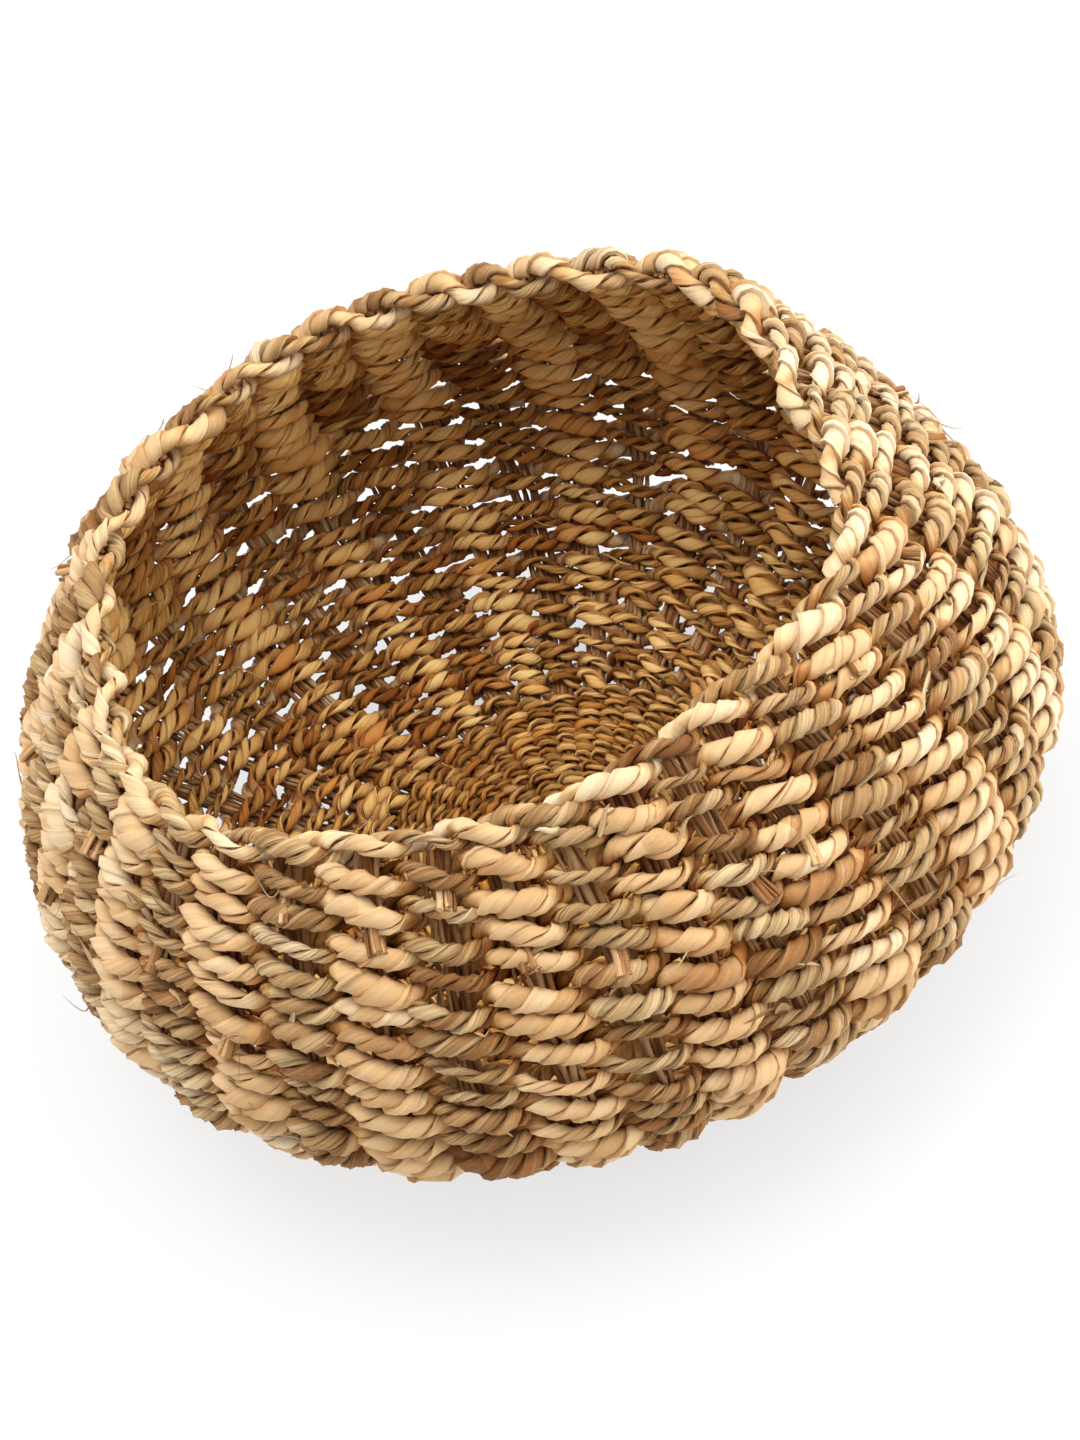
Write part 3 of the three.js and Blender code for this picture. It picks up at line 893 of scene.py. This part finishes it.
# Inside is the share of them there, from the length along the wall where they start
leafTips = {
    "count": 70, "inside": 0.3, "from": 0.09, "length": 0.011, "lengths": (0.5, 1.3),
    "heading": 0.25, "spread": 0.45, "start": 0.0056, "lift": 0.0032, "lifts": (0.2, 1),
    "bow": 0.0008, "width": 0.0024, "widths": (0.5, 1.3), "points": 12, "mottle": 0.18,
    "blade": {"Sides": 6, "Thickness": 0.25, "Curl": 3.0, "Step": 0.0016},
}
strayFibres = {
    **leafTips, "count": 60, "inside": 0.15, "length": 0.017, "spread": 0.9, "start": 0.0066,
    "lift": 0.0075, "bow": 0.0026, "width": 0.0006,
    "blade": {"Sides": 4, "Thickness": 0.8, "Curl": 1.0, "Step": 0.0014},
}

twineWall()
twineRim()
twineBase()
standStakes()
tuckStakeEnds()
liftTips("leafTipsCream", leafTips, 51, creamLeaf)
liftTips("leafTipsOlive", leafTips, 52, oliveLeaf)
liftTips("strayFibres", strayFibres, 53, creamLeaf)


# The photograph looks down at 46 degrees and is turned 22 degrees about the line of sight
camera = {
    "elevation": 46.1, "roll": -21.9, "unit": 0.175, "distance": 6, "pixelsPerUnit": 526.4,
    "imageWidth": 1080, "imageHeight": 1440, "middleX": 526.1, "middleY": 709.6,
    "aimHeight": 0.0782, "sensor": 36,
}


def makeCamera():
    tilt, roll = math.radians(camera["elevation"]), math.radians(camera["roll"])
    ahead = Vector((0, math.cos(tilt), -math.sin(tilt)))
    right = Vector((1, 0, 0))
    up = right.cross(ahead)
    turnedRight = math.cos(roll) * right + math.sin(roll) * up
    turnedUp = -math.sin(roll) * right + math.cos(roll) * up
    distance = camera["distance"] * camera["unit"]
    focus = camera["pixelsPerUnit"] * camera["distance"]
    middle = Vector((0, 0, camera["aimHeight"]))
    aimX = camera["middleX"] - camera["imageWidth"] / 2
    aimY = camera["middleY"] - camera["imageHeight"] / 2
    place = middle - ahead * distance
    place -= turnedRight * (aimX * distance / focus)
    place += turnedUp * (aimY * distance / focus)
    data = bpy.data.cameras.new("camera")
    data.lens = focus * camera["sensor"] / camera["imageHeight"]
    data.sensor_width = camera["sensor"]
    body = bpy.data.objects.new("camera", data)
    bpy.context.scene.collection.objects.link(body)
    turned = Matrix((turnedRight, turnedUp, -ahead)).transposed().to_4x4()
    body.matrix_world = Matrix.Translation(place) @ turned
    bpy.context.scene.camera = body


room = {
    "world": 0.57,
    # name, place, size and watts, each turned to the origin
    "lamps": (("rightLamp", (1.50, -0.15, 0.50), 3.0, 56),
              ("leftLamp", (-1.45, 0.40, 0.45), 1.3, 8),
              ("topLamp", (0.0, 0.00, 1.85), 1.2, 26)),
    "floor": 0.80, "floorSize": 12, "floorDrop": 0.0003,
    "whiteness": (0.85, 1.0),  # beside the basket and further out
    "whiteFrom": (0.25, 0.9),
    "footWhiteness": 0.75,  # the share of that which is left under the basket
    "footFrom": (0.10, 0.22),
}


def makeRoom():
    scene = bpy.context.scene
    scene.view_settings.view_transform = "Standard"
    bpy.ops.mesh.primitive_plane_add(size=room["floorSize"], location=(0, 0, -room["floorDrop"]))
    floor = bpy.context.object
    floor.name = "floor"
    # the camera sees part of the floor, and the room behind it, as plain white
    paint = bpy.data.materials.new("paleFloor")
    paint.use_nodes = True
    sketch = NodeSketch(paint.node_tree)
    shader = paint.node_tree.nodes["Principled BSDF"]
    shader.inputs["Base Color"].default_value = (room["floor"],) * 3 + (1,)
    shader.inputs["Roughness"].default_value = 0.8
    seen = sketch.add("ShaderNodeLightPath").outputs["Is Camera Ray"]
    place = sketch.add("ShaderNodeTexCoord").outputs["Object"]
    away = sketch.operate("ShaderNodeVectorMath", "LENGTH", (place,)).outputs["Value"]
    whiteness = sketch.math(
        "MULTIPLY", sketch.range(away, *room["whiteFrom"], *room["whiteness"]),
        sketch.range(away, *room["footFrom"], room["footWhiteness"], 1.0))
    white = sketch.add("ShaderNodeEmission", {"Color": (1, 1, 1, 1), "Strength": 1.0})
    blend = sketch.add("ShaderNodeMixShader", {
        0: sketch.math("MULTIPLY", seen, whiteness), 1: shader.outputs[0], 2: white.outputs[0]})
    sketch.put(paint.node_tree.nodes["Material Output"].inputs["Surface"], blend.outputs[0])
    floor.data.materials.append(paint)
    world = bpy.data.worlds.new("softRoom")
    world.use_nodes = True
    sketch = NodeSketch(world.node_tree)
    seen = sketch.add("ShaderNodeLightPath").outputs["Is Camera Ray"]
    background = world.node_tree.nodes["Background"]
    background.inputs["Color"].default_value = (1, 1, 1, 1)
    sketch.put(background.inputs["Strength"], sketch.math(
        "MULTIPLY_ADD", seen, 1 - room["world"], room["world"]))
    scene.world = world
    for name, place, size, power in room["lamps"]:
        data = bpy.data.lights.new(name, "AREA")
        data.size = size
        data.energy = power
        lamp = bpy.data.objects.new(name, data)
        scene.collection.objects.link(lamp)
        lamp.location = place
        lamp.rotation_euler = (-Vector(place)).to_track_quat("-Z", "Y").to_euler()


makeCamera()
makeRoom()
print("camera and room made")
